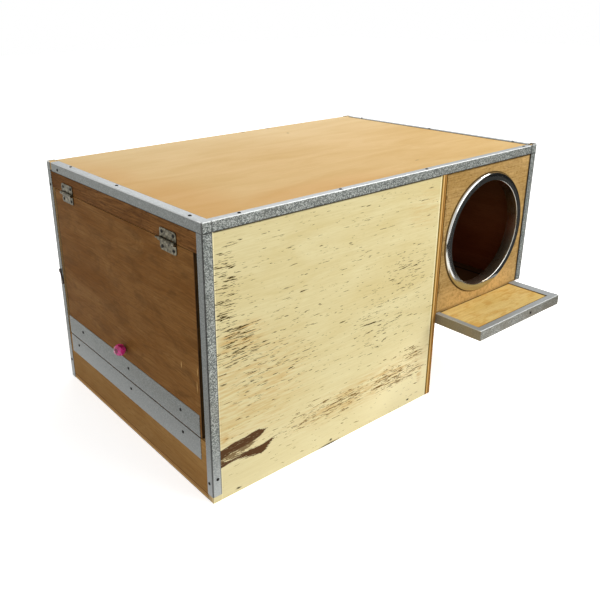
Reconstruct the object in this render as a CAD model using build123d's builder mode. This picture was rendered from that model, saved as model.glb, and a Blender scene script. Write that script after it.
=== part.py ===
"""Parakeet nest box of plywood, edged with folded galvanised angle.

A deep nest chamber stands on the ground. A shallower entrance chamber hangs
beside it, with a round steel-lined hole and a landing ledge. A flap door, hung
from its top edge, closes the end of the nest chamber.

Millimetres. X runs along the length from the door end to the entrance end, Y
from the front to the back, and Z up. The origin is on the ground, under the
middle of the nest chamber.
"""

import os

from build123d import *

# Driving dimensions: the outside of the box, over its metal edging
nest_length = 300.0
entrance_length = 160.0
depth = 300.0
height = 263.4

# Sheet stock
ply = 8.0
floor_ply = 6.0
sheet = 0.6

# Entrance chamber: the top of its floor, and how far its ledge reaches out
entrance_floor_top = 98.4
ledge_reach = 57.0
ledge_end_gap = 1.0

# Pass opening in the wall between the chambers: the wood left below and above it
pass_width = 120.0
pass_sill = 12.0
pass_head = 34.4
pass_corner_radius = 12.0

# Folded angle: the widths of its legs, on the faces where they lie
angle_leg = 9.4
front_roof_leg = 6.7
far_roof_leg = 7.0
corner_front_leg = 9.6
corner_end_leg = 8.3
far_corner_leg = 10.0
fold_radius = 1.0
door_end_trim_stop = 12.0
corner_foot = 7.0
far_corner_rise = 0.9
far_corner_lift = 0.4
ledge_drop = 11.4
ledge_near_leg = 6.0
ledge_front_leg = 7.0
ledge_far_leg = 12.0

# Door, hung between a header and a sill
header_visible = 18.3
sill_top = 60.8
door_bottom_gap = 1.5
door_top_gap = 0.35
door_side_gap = 5.1
strip_width = 22.0
strip_front_inset = 3.4

# Butt hinges on the face of the door
hinge_length = 26.0
hinge_half_width = 9.9
hinge_leaf = 0.9
hinge_corner_radius = 2.5
hinge_front_inset = 51.4
hinge_back_inset = 48.0
knuckle_radius = 1.6
knuckle_stand_off = 0.4
knuckle_count = 5
knuckle_gap = 0.3
knuckle_notch_gap = 0.4
pin_radius = 0.8
pin_running_gap = 0.05
pin_front_overhang = 0.6
slipped_pin_overhang = 5.0
seated_pin_overhang = 0.6
hinge_screw_hole_radius = 1.4
hinge_screw_spread = 18.0
hinge_screw_offset = 6.6

# Pull bead on the door
bead_radius = 6.5
bead_length = 12.6
bead_sides = 10
bead_facet = 3.4
bead_small_facet = 0.9
bead_above_strip = 12.2

# Entrance ring of rolled sheet: the wood left round it, and its section
ring_near_margin = 6.3
ring_far_margin = 8.3
ring_head_margin = 10.0
ring_flange = 8.5
ring_sheet = 0.8
ring_proud = 3.0
ring_bend_radius = 1.3
ring_rim = 0.5
ring_rim_seat = 1.0
ring_tail = 1.7
ring_hole_clearance = 0.1

# Hook catch on the back corner, turned clear of the door
catch_pivot_height = 137.0
catch_pivot_inset = 3.4
catch_head_radius = 2.2
catch_head_height = 1.4
catch_wire_radius = 0.8
catch_wire_sides = 6
catch_reach = 5.0
catch_drop = 12.5
catch_hook_radius = 2.0
catch_hook_turn = 150.0

# Planes of the box: metal outside, wood inside it
door_end_x = -nest_length / 2
nest_end_x = door_end_x + nest_length
far_end_x = nest_end_x + entrance_length
front_y = -depth / 2
back_y = depth / 2
door_end_wood_x = door_end_x + sheet
far_end_wood_x = far_end_x - sheet
front_wood_y = front_y + sheet
back_wood_y = back_y - sheet
inner_front_y = front_wood_y + ply
inner_back_y = back_wood_y - ply
divider_x = nest_end_x - ply
end_wall_x = far_end_wood_x - ply
roof_wood_top = height - sheet
roof_underside = roof_wood_top - ply
angle_bottom = height - angle_leg
entrance_floor_bottom = entrance_floor_top - ply

# Door and hinge line
hinge_z = angle_bottom - header_visible
hinge_x = door_end_wood_x - knuckle_radius - knuckle_stand_off
door_top = hinge_z - door_top_gap
door_bottom = sill_top + door_bottom_gap
door_front_y = front_y + corner_end_leg + door_side_gap
door_back_y = back_y - corner_end_leg - door_side_gap
strip_front_y = door_front_y + strip_front_inset

# Ledge
far_leg_x = far_end_x - far_corner_leg
ledge_front_y = front_y - ledge_reach
ledge_end_x = far_leg_x - ledge_end_gap
ledge_trim_bottom = entrance_floor_top + sheet - ledge_drop

# Entrance ring, as large as the wood left round it allows
ring_width = far_leg_x - nest_end_x - ring_near_margin - ring_far_margin
ring_height = angle_bottom - entrance_floor_top - 2 * ring_head_margin
ring_outer_radius = min(ring_width, ring_height) / 2
ring_inner_radius = ring_outer_radius - ring_flange
ring_x = nest_end_x + ring_near_margin + ring_outer_radius
ring_z = (entrance_floor_top + angle_bottom) / 2


def rectangle_between(low_a, high_a, low_b, high_b):
    """Draw the rectangle between two pairs of sketch coordinates."""
    with Locations(((low_a + high_a) / 2, (low_b + high_b) / 2)):
        Rectangle(high_a - low_a, high_b - low_b)


def folded_angle(corner, first, second, first_leg, second_leg, run):
    """Fold an angle of sheet: two legs from a corner, run at right angles to both."""
    profile_plane = Plane(origin=corner, x_dir=first, z_dir=Vector(*first).cross(Vector(*second)))
    with BuildPart() as angle:
        with BuildSketch(profile_plane):
            with BuildLine():
                Polyline(
                    (0, 0),
                    (first_leg, 0),
                    (first_leg, sheet),
                    (sheet, sheet),
                    (sheet, second_leg),
                    (0, second_leg),
                    close=True,
                )
            outline = make_face()
            fillet(outline.vertices().sort_by_distance((0, 0))[0], fold_radius)
        extrude(amount=run)
    return angle.part


# Nest chamber: boards between the ground and the roof
with BuildPart() as front_panel:
    with BuildSketch(Plane.XY):
        rectangle_between(door_end_wood_x, divider_x, front_wood_y, inner_front_y)
    extrude(amount=roof_underside)

with BuildPart() as back_panel:
    with BuildSketch(Plane.XY):
        rectangle_between(door_end_wood_x, divider_x, inner_back_y, back_wood_y)
    extrude(amount=roof_underside)

with BuildPart() as floor_panel:
    with BuildSketch(Plane.XY):
        rectangle_between(door_end_wood_x, divider_x, inner_front_y, inner_back_y)
    extrude(amount=floor_ply)

# The wall between the chambers, whose front edge shows its plies
pass_bottom = entrance_floor_top + pass_sill
pass_height = roof_underside - pass_head - pass_bottom
with BuildPart() as divider_wall:
    with BuildSketch(Plane.YZ.offset(divider_x)):
        rectangle_between(front_wood_y, back_wood_y, 0, roof_underside)
        with Locations((0, pass_bottom + pass_height / 2)):
            RectangleRounded(pass_width, pass_height, pass_corner_radius, mode=Mode.SUBTRACT)
    extrude(amount=ply)

# Entrance chamber: a floor that runs out as the ledge, and three walls on top of it
with BuildPart() as entrance_floor:
    with BuildSketch(Plane.XY.offset(entrance_floor_bottom)):
        rectangle_between(nest_end_x, far_end_wood_x, inner_front_y, back_wood_y)
        rectangle_between(nest_end_x, ledge_end_x - sheet, front_wood_y, inner_front_y)
        rectangle_between(
            nest_end_x + sheet, ledge_end_x - sheet, ledge_front_y + sheet, front_wood_y
        )
    extrude(amount=ply)

with BuildPart() as entrance_front:
    with BuildSketch(Plane.XY.offset(entrance_floor_top)):
        rectangle_between(nest_end_x, end_wall_x, front_wood_y, inner_front_y)
    extrude(amount=roof_underside - entrance_floor_top)
    with Locations(Plane(origin=(ring_x, front_wood_y, ring_z), z_dir=(0, -1, 0))):
        Hole(radius=ring_inner_radius + ring_sheet + ring_hole_clearance)

with BuildPart() as entrance_back:
    with BuildSketch(Plane.XY.offset(entrance_floor_top)):
        rectangle_between(nest_end_x, end_wall_x, inner_back_y, back_wood_y)
    extrude(amount=roof_underside - entrance_floor_top)

with BuildPart() as end_wall:
    with BuildSketch(Plane.XY.offset(entrance_floor_top)):
        rectangle_between(end_wall_x, far_end_wood_x, front_wood_y, back_wood_y)
    extrude(amount=roof_underside - entrance_floor_top)

# One roof board over both chambers
with BuildPart() as top_panel:
    with BuildSketch(Plane.XY.offset(roof_underside)):
        rectangle_between(door_end_wood_x, far_end_wood_x, front_wood_y, back_wood_y)
    extrude(amount=ply)

# Door end: header and sill, with the door between them
with BuildPart() as door_header:
    with BuildSketch(Plane.XY.offset(hinge_z + door_top_gap)):
        rectangle_between(door_end_wood_x, door_end_wood_x + ply, inner_front_y, inner_back_y)
    extrude(amount=roof_underside - hinge_z - door_top_gap)

with BuildPart() as door_sill:
    with BuildSketch(Plane.XY.offset(floor_ply)):
        rectangle_between(door_end_wood_x, door_end_wood_x + ply, inner_front_y, inner_back_y)
    extrude(amount=sill_top - floor_ply)

with BuildPart() as door_panel:
    with BuildSketch(Plane.XY.offset(door_bottom)):
        rectangle_between(door_end_wood_x, door_end_wood_x + ply, door_front_y, door_back_y)
    extrude(amount=door_top - door_bottom)

# Flat strips: one along the foot of the door, one along the top of the sill
with BuildPart() as door_strip:
    with BuildSketch(Plane.XY.offset(door_bottom)):
        rectangle_between(door_end_x, door_end_wood_x, strip_front_y, door_back_y)
    extrude(amount=strip_width)

with BuildPart() as sill_strip:
    with BuildSketch(Plane.XY.offset(sill_top - strip_width)):
        rectangle_between(door_end_x, door_end_wood_x, strip_front_y, door_back_y)
    extrude(amount=strip_width)

# Faceted pull bead, screwed to the middle of the door above its strip
bead_z = door_bottom + strip_width + bead_above_strip
with BuildPart() as door_pull:
    with BuildSketch(Plane(origin=(door_end_wood_x, 0, bead_z), z_dir=(-1, 0, 0))):
        RegularPolygon(bead_radius, bead_sides)
    extrude(amount=bead_length)
    chamfer(door_pull.faces().filter_by(Axis.X).edges(), bead_facet)
    band_faces = door_pull.faces().group_by(lambda face: abs(face.normal_at().X))[0]
    band_edges = band_faces.edges().filter_by(Axis.X, reverse=True)
    chamfer(band_edges, bead_small_facet)

# Entrance ring: a sleeve through the hole, bent over into a convex flange
ring_plane = Plane(origin=(ring_x, front_wood_y, ring_z), x_dir=(1, 0, 0), z_dir=(0, 0, 1))
sleeve_end = ply + ring_tail
sleeve_outside = ring_inner_radius + ring_sheet
with BuildPart() as entrance_ring:
    with BuildSketch(ring_plane):
        with BuildLine():
            sleeve = Line(
                (ring_inner_radius, sleeve_end),
                (ring_inner_radius, ring_bend_radius - ring_proud),
            )
            bend = JernArc(sleeve @ 1, sleeve % 1, ring_bend_radius, 90)
            flange = TangentArc(bend @ 1, (ring_outer_radius, -ring_rim), tangent=bend % 1)
            Polyline(
                flange @ 1,
                (ring_outer_radius, 0),
                (ring_outer_radius - ring_rim_seat, 0),
                (sleeve_outside, ring_sheet - ring_proud),
                (sleeve_outside, sleeve_end),
                sleeve @ 0,
            )
        make_face()
    revolve(axis=Axis((ring_x, front_wood_y, ring_z), (0, 1, 0)))

# Folded angle over the edges of the roof
front_top_trim = folded_angle(
    (door_end_x, front_y, height),
    (0, 0, -1),
    (0, 1, 0),
    angle_leg,
    front_roof_leg,
    far_leg_x - door_end_x,
)

door_end_trim_start = front_y + front_roof_leg
with BuildPart() as door_end_top_trim:
    add(
        folded_angle(
            (door_end_x, door_end_trim_start, height),
            (1, 0, 0),
            (0, 0, -1),
            angle_leg,
            angle_leg,
            back_y - door_end_trim_stop - door_end_trim_start,
        )
    )
    with BuildSketch(Plane.YZ.offset(door_end_x)):
        rectangle_between(front_wood_y, door_end_trim_start, angle_bottom, height - sheet)
    extrude(amount=sheet)

far_end_top_trim = folded_angle(
    (far_end_x, front_y + corner_end_leg, height),
    (0, 0, -1),
    (-1, 0, 0),
    angle_leg,
    far_roof_leg,
    depth - 2 * corner_end_leg,
)

# Folded angle up the corners
door_front_corner_trim = folded_angle(
    (door_end_x, front_y, corner_foot),
    (1, 0, 0),
    (0, 1, 0),
    corner_front_leg,
    corner_end_leg,
    angle_bottom - corner_foot,
)
door_back_corner_trim = folded_angle(
    (door_end_x, back_y, 0),
    (0, -1, 0),
    (1, 0, 0),
    corner_end_leg,
    corner_front_leg,
    height,
)
far_corner_foot = entrance_floor_top + sheet + far_corner_lift
far_front_corner_trim = folded_angle(
    (far_end_x, front_y, far_corner_foot),
    (0, 1, 0),
    (-1, 0, 0),
    corner_end_leg,
    far_corner_leg,
    height + far_corner_rise - far_corner_foot,
)
far_back_corner_trim = folded_angle(
    (far_end_x, back_y, entrance_floor_bottom),
    (-1, 0, 0),
    (0, -1, 0),
    far_corner_leg,
    corner_end_leg,
    height - entrance_floor_bottom,
)

# Folded angle round the ledge, the front one with its ends turned back
ledge_trim_top = entrance_floor_top + sheet
side_trim_start = ledge_front_y + ledge_front_leg
side_trim_run = front_wood_y - side_trim_start
with BuildPart() as ledge_front_trim:
    add(
        folded_angle(
            (nest_end_x, ledge_front_y, ledge_trim_top),
            (0, 0, -1),
            (0, 1, 0),
            ledge_drop,
            ledge_front_leg,
            ledge_end_x - nest_end_x,
        )
    )
    with BuildSketch(Plane.XY.offset(ledge_trim_bottom)):
        rectangle_between(nest_end_x, nest_end_x + sheet, ledge_front_y + sheet, side_trim_start)
        rectangle_between(ledge_end_x - sheet, ledge_end_x, ledge_front_y + sheet, side_trim_start)
    extrude(amount=ledge_drop - sheet)

ledge_near_trim = folded_angle(
    (nest_end_x, side_trim_start, ledge_trim_top),
    (1, 0, 0),
    (0, 0, -1),
    ledge_near_leg,
    ledge_drop,
    side_trim_run,
)
ledge_far_trim = folded_angle(
    (ledge_end_x, side_trim_start, ledge_trim_top),
    (0, 0, -1),
    (-1, 0, 0),
    ledge_drop,
    ledge_far_leg,
    side_trim_run,
)


def hinge_axis_plane(y):
    """Give the plane across the hinge line at one place along it."""
    return Plane(origin=(hinge_x, y, hinge_z), x_dir=(1, 0, 0), z_dir=(0, 1, 0))


def hinge_half(centre_y, side, first_knuckle):
    """Make one leaf of a hinge: side is 1 above the pin and -1 below it."""
    pitch = hinge_length / knuckle_count
    centres = [(index + 0.5) * pitch - hinge_length / 2 for index in range(knuckle_count)]
    own = centres[first_knuckle::2]
    others = centres[1 - first_knuckle::2]
    leaf_plane = Plane(
        origin=(door_end_wood_x, centre_y, hinge_z), x_dir=(0, 1, 0), z_dir=(1, 0, 0)
    )
    notch_depth = knuckle_radius + knuckle_notch_gap
    with BuildPart() as half:
        with BuildSketch(leaf_plane):
            with Locations((0, side * hinge_half_width / 2)):
                leaf = Rectangle(hinge_length, hinge_half_width)
            outer_edge = leaf.edges().filter_by(Axis.X).sort_by_distance((0, 0))[-1]
            fillet(outer_edge.vertices(), hinge_corner_radius)
            with Locations([(y, side * notch_depth / 2) for y in others]):
                Rectangle(pitch + knuckle_gap, notch_depth, mode=Mode.SUBTRACT)
            with Locations((0, side * hinge_screw_offset)):
                with GridLocations(hinge_screw_spread, 0, 2, 1):
                    Circle(hinge_screw_hole_radius, mode=Mode.SUBTRACT)
        extrude(amount=-hinge_leaf)
        for y in own:
            with BuildSketch(hinge_axis_plane(centre_y + y - (pitch - knuckle_gap) / 2)):
                Circle(knuckle_radius)
            extrude(amount=pitch - knuckle_gap)
        with BuildSketch(hinge_axis_plane(centre_y - hinge_length / 2)):
            Circle(pin_radius + pin_running_gap)
        extrude(amount=hinge_length, mode=Mode.SUBTRACT)
    return half.part


def hinge_pin(centre_y, back_overhang):
    """Make the pin of a hinge, longer than its knuckles at both ends."""
    with BuildPart() as pin:
        with BuildSketch(hinge_axis_plane(centre_y - hinge_length / 2 - pin_front_overhang)):
            Circle(pin_radius)
        extrude(amount=pin_front_overhang + hinge_length + back_overhang)
    return pin.part


# Hook catch of bent wire under a round screw head
catch_plane = Plane(
    origin=(door_end_x, back_y - catch_pivot_inset, catch_pivot_height),
    x_dir=(0, -1, 0),
    z_dir=(-1, 0, 0),
)
with BuildPart() as door_catch:
    with BuildSketch(catch_plane):
        Circle(catch_head_radius)
    extrude(amount=catch_head_height)
    with BuildLine(catch_plane.offset(catch_wire_radius)):
        shank = Line((0, 0), (catch_reach, -catch_drop))
        JernArc(shank @ 1, shank % 1, catch_hook_radius, -catch_hook_turn)
    with BuildSketch(Plane(origin=shank @ 0, z_dir=shank % 0)):
        RegularPolygon(catch_wire_radius, catch_wire_sides)
    sweep()

pieces = {
    "top_panel": top_panel.part,
    "front_panel": front_panel.part,
    "back_panel": back_panel.part,
    "floor_panel": floor_panel.part,
    "divider_wall": divider_wall.part,
    "entrance_floor": entrance_floor.part,
    "entrance_front": entrance_front.part,
    "entrance_back": entrance_back.part,
    "end_wall": end_wall.part,
    "door_header": door_header.part,
    "door_sill": door_sill.part,
    "sill_strip": sill_strip.part,
    "door_panel": door_panel.part,
    "door_strip": door_strip.part,
    "door_pull": door_pull.part,
    "door_catch": door_catch.part,
    "entrance_ring": entrance_ring.part,
    "front_top_trim": front_top_trim,
    "door_end_top_trim": door_end_top_trim.part,
    "far_end_top_trim": far_end_top_trim,
    "door_front_corner_trim": door_front_corner_trim,
    "door_back_corner_trim": door_back_corner_trim,
    "far_front_corner_trim": far_front_corner_trim,
    "far_back_corner_trim": far_back_corner_trim,
    "ledge_front_trim": ledge_front_trim.part,
    "ledge_near_trim": ledge_near_trim,
    "ledge_far_trim": ledge_far_trim,
}
hinges = {
    "front": (front_y + hinge_front_inset, slipped_pin_overhang),
    "back": (back_y - hinge_back_inset, seated_pin_overhang),
}
for place, (centre, pin_back_overhang) in hinges.items():
    pieces[f"{place}_hinge_frame_leaf"] = hinge_half(centre, 1, 0)
    pieces[f"{place}_hinge_door_leaf"] = hinge_half(centre, -1, 1)
    pieces[f"{place}_hinge_pin"] = hinge_pin(centre, pin_back_overhang)

os.makedirs("parts", exist_ok=True)
for label, piece in pieces.items():
    piece.label = label
    export_step(piece, f"parts/{label}.step")
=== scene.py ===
import math
import bmesh
import bpy
from mathutils import Matrix, Vector


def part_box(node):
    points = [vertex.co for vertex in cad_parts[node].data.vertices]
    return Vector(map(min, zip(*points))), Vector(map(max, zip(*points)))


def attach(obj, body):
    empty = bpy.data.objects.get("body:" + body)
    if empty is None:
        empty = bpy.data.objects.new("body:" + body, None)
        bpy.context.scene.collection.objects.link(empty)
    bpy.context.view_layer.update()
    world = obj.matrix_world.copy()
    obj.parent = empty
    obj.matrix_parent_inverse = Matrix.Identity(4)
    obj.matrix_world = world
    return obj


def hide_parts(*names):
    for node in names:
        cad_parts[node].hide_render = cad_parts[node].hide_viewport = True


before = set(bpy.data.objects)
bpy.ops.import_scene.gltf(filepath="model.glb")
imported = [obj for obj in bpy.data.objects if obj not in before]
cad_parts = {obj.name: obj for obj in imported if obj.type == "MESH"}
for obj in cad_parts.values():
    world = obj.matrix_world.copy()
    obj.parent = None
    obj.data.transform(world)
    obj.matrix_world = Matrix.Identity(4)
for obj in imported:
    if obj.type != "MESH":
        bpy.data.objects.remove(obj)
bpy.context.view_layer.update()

scene = bpy.context.scene
scene.view_settings.view_transform = "Standard"

# Studio camera: a standing person's view of the box's near corner, with the
# lens and shift worked out from the corners of the box.
camera = bpy.data.objects.new("camera", bpy.data.cameras.new("camera"))
scene.collection.objects.link(camera)
camera.location = (-0.42543, -0.57096, 0.41901)
camera.rotation_euler = [math.radians(angle) for angle in (69.2478, 0.9564, -37.7833)]
camera.data.sensor_width = 36
camera.data.lens = 41.424
camera.data.shift_x = 0.08207
camera.data.shift_y = -0.05878
camera.data.clip_start = 0.01
scene.camera = camera


# Studio floor: a sweep of white card. It keeps the soft shadow of the box, and
# rays from the camera, metal and acrylic see it as a white page.
def linear(hex_colour):
    """Turn an sRGB hex colour into the linear values that shaders take."""
    parts = [int(hex_colour[i:i + 2], 16) / 255 for i in (1, 3, 5)]
    return [v / 12.92 if v <= 0.04045 else ((v + 0.055) / 1.055) ** 2.4 for v in parts] + [1]


def add_node(tree, kind, inputs=(), stops=(), **settings):
    """Add a node with its settings, then give its inputs a value or a link."""
    node = tree.nodes.new("ShaderNode" + kind)
    for setting, value in settings.items():
        setattr(node, setting, value)
    for i, (place, colour) in enumerate(stops):
        ramp = node.color_ramp.elements
        stop = ramp[i] if i < len(ramp) else ramp.new(place)
        stop.position = place
        stop.color = linear(colour) if isinstance(colour, str) else (colour, colour, colour, 1)
    for key, value in dict(inputs).items():
        if isinstance(value, bpy.types.NodeSocket):
            tree.links.new(value, node.inputs[key])
        else:
            node.inputs[key].default_value = value
    return node


def new_material(name):
    """Make an empty node material and give its tree and its main shader."""
    material = bpy.data.materials.new(name)
    material.use_nodes = True
    return material, material.node_tree, material.node_tree.nodes["Principled BSDF"]


def new_piece(name, shape, material):
    """Make the object of a finished mesh, which stands at the origin."""
    mesh = bpy.data.meshes.new(name)
    shape.to_mesh(mesh)
    shape.free()
    mesh.materials.append(material)
    piece = bpy.data.objects.new(name, mesh)
    scene.collection.objects.link(piece)
    return piece


def page_rays(tree):
    """Mark the rays that see a white page: from the camera, off metal and through acrylic."""
    rays = add_node(tree, "LightPath").outputs
    seen = add_node(
        tree, "Math", {0: rays["Is Camera Ray"], 1: rays["Is Glossy Ray"]}, operation="MAXIMUM"
    )
    seen = add_node(
        tree, "Math", {0: seen.outputs[0], 1: rays["Is Transmission Ray"]}, operation="MAXIMUM"
    )
    return seen.outputs[0]


floor_glow = 0.62
floor_reach = 6
white_card, tree, shader = new_material("matt_white_card")
shader.inputs["Base Color"].default_value = linear("#F4F4F3")
shader.inputs["Roughness"].default_value = 0.9
shader.inputs["Specular IOR Level"].default_value = 0.1
glow = add_node(tree, "Math", {0: page_rays(tree), 1: floor_glow}, operation="MULTIPLY")
shader.inputs["Emission Color"].default_value = (1, 1, 1, 1)
tree.links.new(glow.outputs[0], shader.inputs["Emission Strength"])

shape = bmesh.new()
bmesh.ops.create_grid(shape, x_segments=1, y_segments=1, size=floor_reach)
studio_floor = new_piece("studio_floor", shape, white_card)

# Studio light: a white room, a soft lamp over the front, a smaller one high on
# the right, and a low one behind, whose sheen runs along the roof's edging.
room_light = 0.55
world = bpy.data.worlds.new("white_room")
scene.world = world
world.use_nodes = True
tree = world.node_tree
strength = add_node(
    tree, "MapRange", {"Value": page_rays(tree), "To Min": room_light, "To Max": 1.0}
)
tree.links.new(strength.outputs[0], tree.nodes["Background"].inputs["Strength"])
tree.nodes["Background"].inputs["Color"].default_value = (1, 1, 1, 1)

# Each lamp's place, what it points at, its width and its power
lamps = {
    "front_softbox": ((0.8, -1.6, 0.80), (0.05, 0, 0.13), 1.2, 15),
    "high_softbox": ((1.25, -0.45, 1.40), (0.05, 0, 0.25), 0.5, 14),
    "back_softbox": ((1.0, 1.35, 0.75), (0.05, 0, 0.25), 1.2, 5),
}
for name, (place, target, width, power) in lamps.items():
    lamp = bpy.data.objects.new(name, bpy.data.lights.new(name, "AREA"))
    scene.collection.objects.link(lamp)
    lamp.data.shape = "DISK"
    lamp.data.size = width
    lamp.data.energy = power
    lamp.location = place
    lamp.rotation_euler = (Vector(target) - Vector(place)).to_track_quat("-Z", "Y").to_euler()

# Black flags, seen only in shiny things, which mirror a dark room: each one's
# place, the way it faces and its size
black_cloth, tree, shader = new_material("black_flag_cloth")
shader.inputs["Base Color"].default_value = linear("#141414")
shader.inputs["Roughness"].default_value = 1.0
flags = {
    "standing_flag": ((1.13, -0.38, 0.42), (-1.0, 0.0, 0.0), (1.2, 1.05)),
    "right_lying_flag": ((0.88, -0.40, 0.003), (0.0, 0.0, 1.0), (0.86, 1.4)),
    "front_lying_flag": ((0.05, -0.80, 0.003), (0.0, 0.0, 1.0), (0.8, 0.70)),
    "near_lying_flag": ((-0.30, -0.32, 0.003), (0.0, 0.0, 1.0), (0.4, 0.26)),
}
for name, (place, facing, (width, length)) in flags.items():
    shape = bmesh.new()
    bmesh.ops.create_grid(shape, x_segments=1, y_segments=1, size=0.5)
    bmesh.ops.scale(shape, vec=(width, length, 1), verts=shape.verts)
    turn = Vector(facing).to_track_quat("Z", "Y").to_matrix().to_4x4()
    shape.transform(Matrix.Translation(place) @ turn)
    flag = new_piece(name, shape, black_cloth)
    flag.visible_camera = False
    flag.visible_diffuse = False
    flag.visible_shadow = False


# Front panel: bare, pale rotary-cut plywood. Its open grain shows as short dark
# dashes along the board, and a split burr knot lies in its lower near corner.
def set_material(node, material):
    """Give a node of the frame its finish."""
    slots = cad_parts[node].data.materials
    slots.clear()
    slots.append(material)


def join_finish(tree, shader, colour, gloss, bump):
    """Join a finish's colour, its roughness and its bumps to the shader."""
    tree.links.new(colour, shader.inputs["Base Color"])
    tree.links.new(gloss.outputs[0], shader.inputs["Roughness"])
    tree.links.new(bump.outputs[0], shader.inputs["Normal"])


def beside(tree, value, plane, start, end, most):
    """Mark what is close to a plane: most up to one distance from it, and 0 past another."""
    gap = add_node(tree, "Math", {0: value, 1: plane}, operation="SUBTRACT")
    gap = add_node(tree, "Math", {0: gap.outputs[0]}, operation="ABSOLUTE")
    return add_node(
        tree, "MapRange",
        {"Value": gap.outputs[0], "From Min": start, "From Max": end, "To Min": most, "To Max": 0.0}
    ).outputs[0]


# Colour of the painted shade in the joints between pieces
joint_shade_colour = "#23150A"
# Plies on a board's edge, from its low face to its high one
plies_seen = (
    (0.0, "#8C6630"), (0.09, "#74501F"), (0.13, "#E2BC80"), (0.44, "#D8AC6E"), (0.48, "#6E4318"),
    (0.57, "#7E4F22"), (0.61, "#CFA068"), (0.84, "#BE8C50"), (0.88, "#54310F"), (1.0, "#664018"),
)
# Inside of the nest chamber and of the entrance chamber: middle and half size
hollows = (
    ((0.0003, 0.0, 0.1304), (0.1419, 0.1416, 0.1246)),
    ((0.2257, 0.0, 0.1766), (0.0759, 0.1416, 0.0784)),
)


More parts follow.
